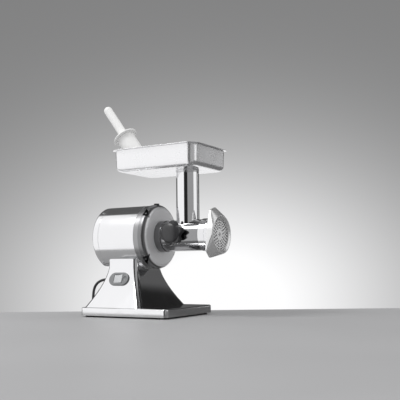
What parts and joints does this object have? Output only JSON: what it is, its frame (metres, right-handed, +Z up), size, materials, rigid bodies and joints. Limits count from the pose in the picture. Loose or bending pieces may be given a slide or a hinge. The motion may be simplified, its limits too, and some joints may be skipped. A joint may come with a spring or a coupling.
{
  "type": "electric meat grinder",
  "caption": "Tabletop electric meat grinder: motor drum on a flared pedestal, screw-fed mincing head with lock knob and ring nut, vertical neck, feed tray and stomper.",
  "frame": {"origin": "on the resting plane, midway across the machine and midway between the ring nut and the back of the plinth, which is below the flat front face of the drum", "axes": "+Z up along the neck; -Y forwards along the mincing head, so +Y is the motor end; +X is to the right when facing the motor from the head end"},
  "size_m": [0.301, 0.4475, 0.5521],
  "materials": {
    "polished_steel": "mirror-polished stainless sheet",
    "brushed_steel": "brushed stainless, grain around the drum",
    "tray_steel": "satin pressed stainless",
    "polished_casting": "machined and polished",
    "satin_casting": "satin cast",
    "plate_steel": "ground steel",
    "tinned_iron": "tinned casting",
    "screw_steel": "bright machine screw",
    "bearing_steel": "ground bearing steel",
    "bronze": "sintered bronze",
    "gear_steel": "machined steel",
    "gear_bronze": "machined bronze",
    "galvanised": "zinc-plated sheet",
    "die_cast": "die-cast, matte",
    "lamination_steel": "stacked laminations",
    "copper_winding": "varnished copper wire",
    "black_plastic": "moulded, fine texture",
    "switch_grey": "moulded",
    "rocker_grey": "moulded, satin gloss",
    "white_plastic": "turned polyethylene",
    "capacitor_white": "moulded can",
    "block_ivory": "moulded",
    "black_rubber": "soft, matte",
    "cord_black": "rubber-sheathed cord",
    "tie_grey": "flat strap"
  },
  "bodies": {
    "base": {"plinth": "polished_steel", "pedestal": "polished_steel", "bottom_plate": "galvanised", "feet": "black_rubber", "foot_screws": "screw_steel", "switch_bezel": "switch_grey", "switch_body": "black_plastic", "capacitor": "capacitor_white", "capacitor_clip": "galvanised", "terminal_block": "block_ivory", "strain_relief": "black_rubber", "power_cord": "cord_black", "cord_coil": "cord_black", "cord_tie": "tie_grey", "power_plug": "black_rubber", "plug_pins": "screw_steel", "saddle_plate": "galvanised", "saddle_bolts": "screw_steel", "gearbox_ring": "brushed_steel", "drum_shell": "brushed_steel", "rear_cap": "brushed_steel", "rear_cap_screws": "screw_steel", "rear_shield": "die_cast", "rear_bearing": "bearing_steel", "stator_core": "lamination_steel", "stator_windings": "copper_winding", "gearbox_plate": "die_cast", "front_bearing": "bearing_steel", "counter_bushes": "bronze", "output_bearings": "bearing_steel", "oil_seal": "black_rubber", "front_casting": "polished_casting", "casting_bolts": "screw_steel", "oil_plug": "black_plastic", "head_spigot": "polished_casting"},
    "rotor_unit": {"rotor": "lamination_steel", "motor_shaft": "gear_steel", "motor_pinion": "gear_steel", "fan": "black_plastic"},
    "counter_unit": {"counter_shaft": "gear_steel", "counter_gear": "gear_bronze", "counter_pinion": "gear_steel"},
    "output_unit": {"output_gear": "gear_bronze", "output_shaft": "gear_steel"},
    "head": {"head_barrel": "polished_casting", "neck_tube": "polished_steel", "rear_bush": "bronze", "thrust_washer": "white_plastic", "hole_plate": "plate_steel", "locating_pin": "plate_steel"},
    "lock": {"lock_knob": "black_plastic", "lock_stud": "screw_steel"},
    "screw_feed": {"auger": "tinned_iron", "knife": "plate_steel"},
    "nut": {"ring_nut": "satin_casting"},
    "tray": {"feed_tray": "tray_steel", "tray_spout": "polished_steel"},
    "pusher": {"stomper": "white_plastic"},
    "rocker": {"switch_rocker": "rocker_grey"}
  },
  "joints": [
    {"name": "rotor_spin", "type": "hinge", "parent": "base", "child": "rotor_unit", "pos_m": [0, 0.1, 0.201], "axis": [0, -1, 0], "continuous": true},
    {"name": "counter_spin", "type": "hinge", "parent": "base", "child": "counter_unit", "pos_m": [0, 0.02, 0.1635], "axis": [0, -1, 0], "continuous": true},
    {"name": "output_spin", "type": "hinge", "parent": "base", "child": "output_unit", "pos_m": [0, 0, 0.201], "axis": [0, -1, 0], "continuous": true},
    {"name": "head_removal", "type": "slide", "parent": "base", "child": "head", "axis": [0, -1, 0], "range_m": [0, 0.07]},
    {"name": "lock_turn", "type": "hinge", "parent": "head", "child": "lock", "pos_m": [-0.05, -0.06, 0.206], "axis": [-1, 0, 0], "range_deg": [0, 360]},
    {"name": "auger_spin", "type": "hinge", "parent": "head", "child": "screw_feed", "pos_m": [0, -0.1, 0.201], "axis": [0, -1, 0], "continuous": true},
    {"name": "nut_turn", "type": "hinge", "parent": "head", "child": "nut", "pos_m": [0, -0.16, 0.201], "axis": [0, -1, 0], "range_deg": [0, 720]},
    {"name": "tray_lift", "type": "slide", "parent": "head", "child": "tray", "axis": [0, 0, 1], "range_m": [0, 0.06]},
    {"name": "stomper_lift", "type": "slide", "parent": "tray", "child": "pusher", "axis": [0, 0.5878, 0.809], "range_m": [0, 0.13]},
    {"name": "switch_rock", "type": "hinge", "parent": "base", "child": "rocker", "pos_m": [-0.06754, 0.088, 0.094], "axis": [0.3703, 0, 0.9289], "range_deg": [0, 16]}
  ],
  "couplings": [
    {"joint": "counter_spin", "follows": "rotor_spin", "ratio": -0.31579},
    {"joint": "output_spin", "follows": "rotor_spin", "ratio": 0.11095},
    {"joint": "auger_spin", "follows": "rotor_spin", "ratio": 0.11095}
  ]
}
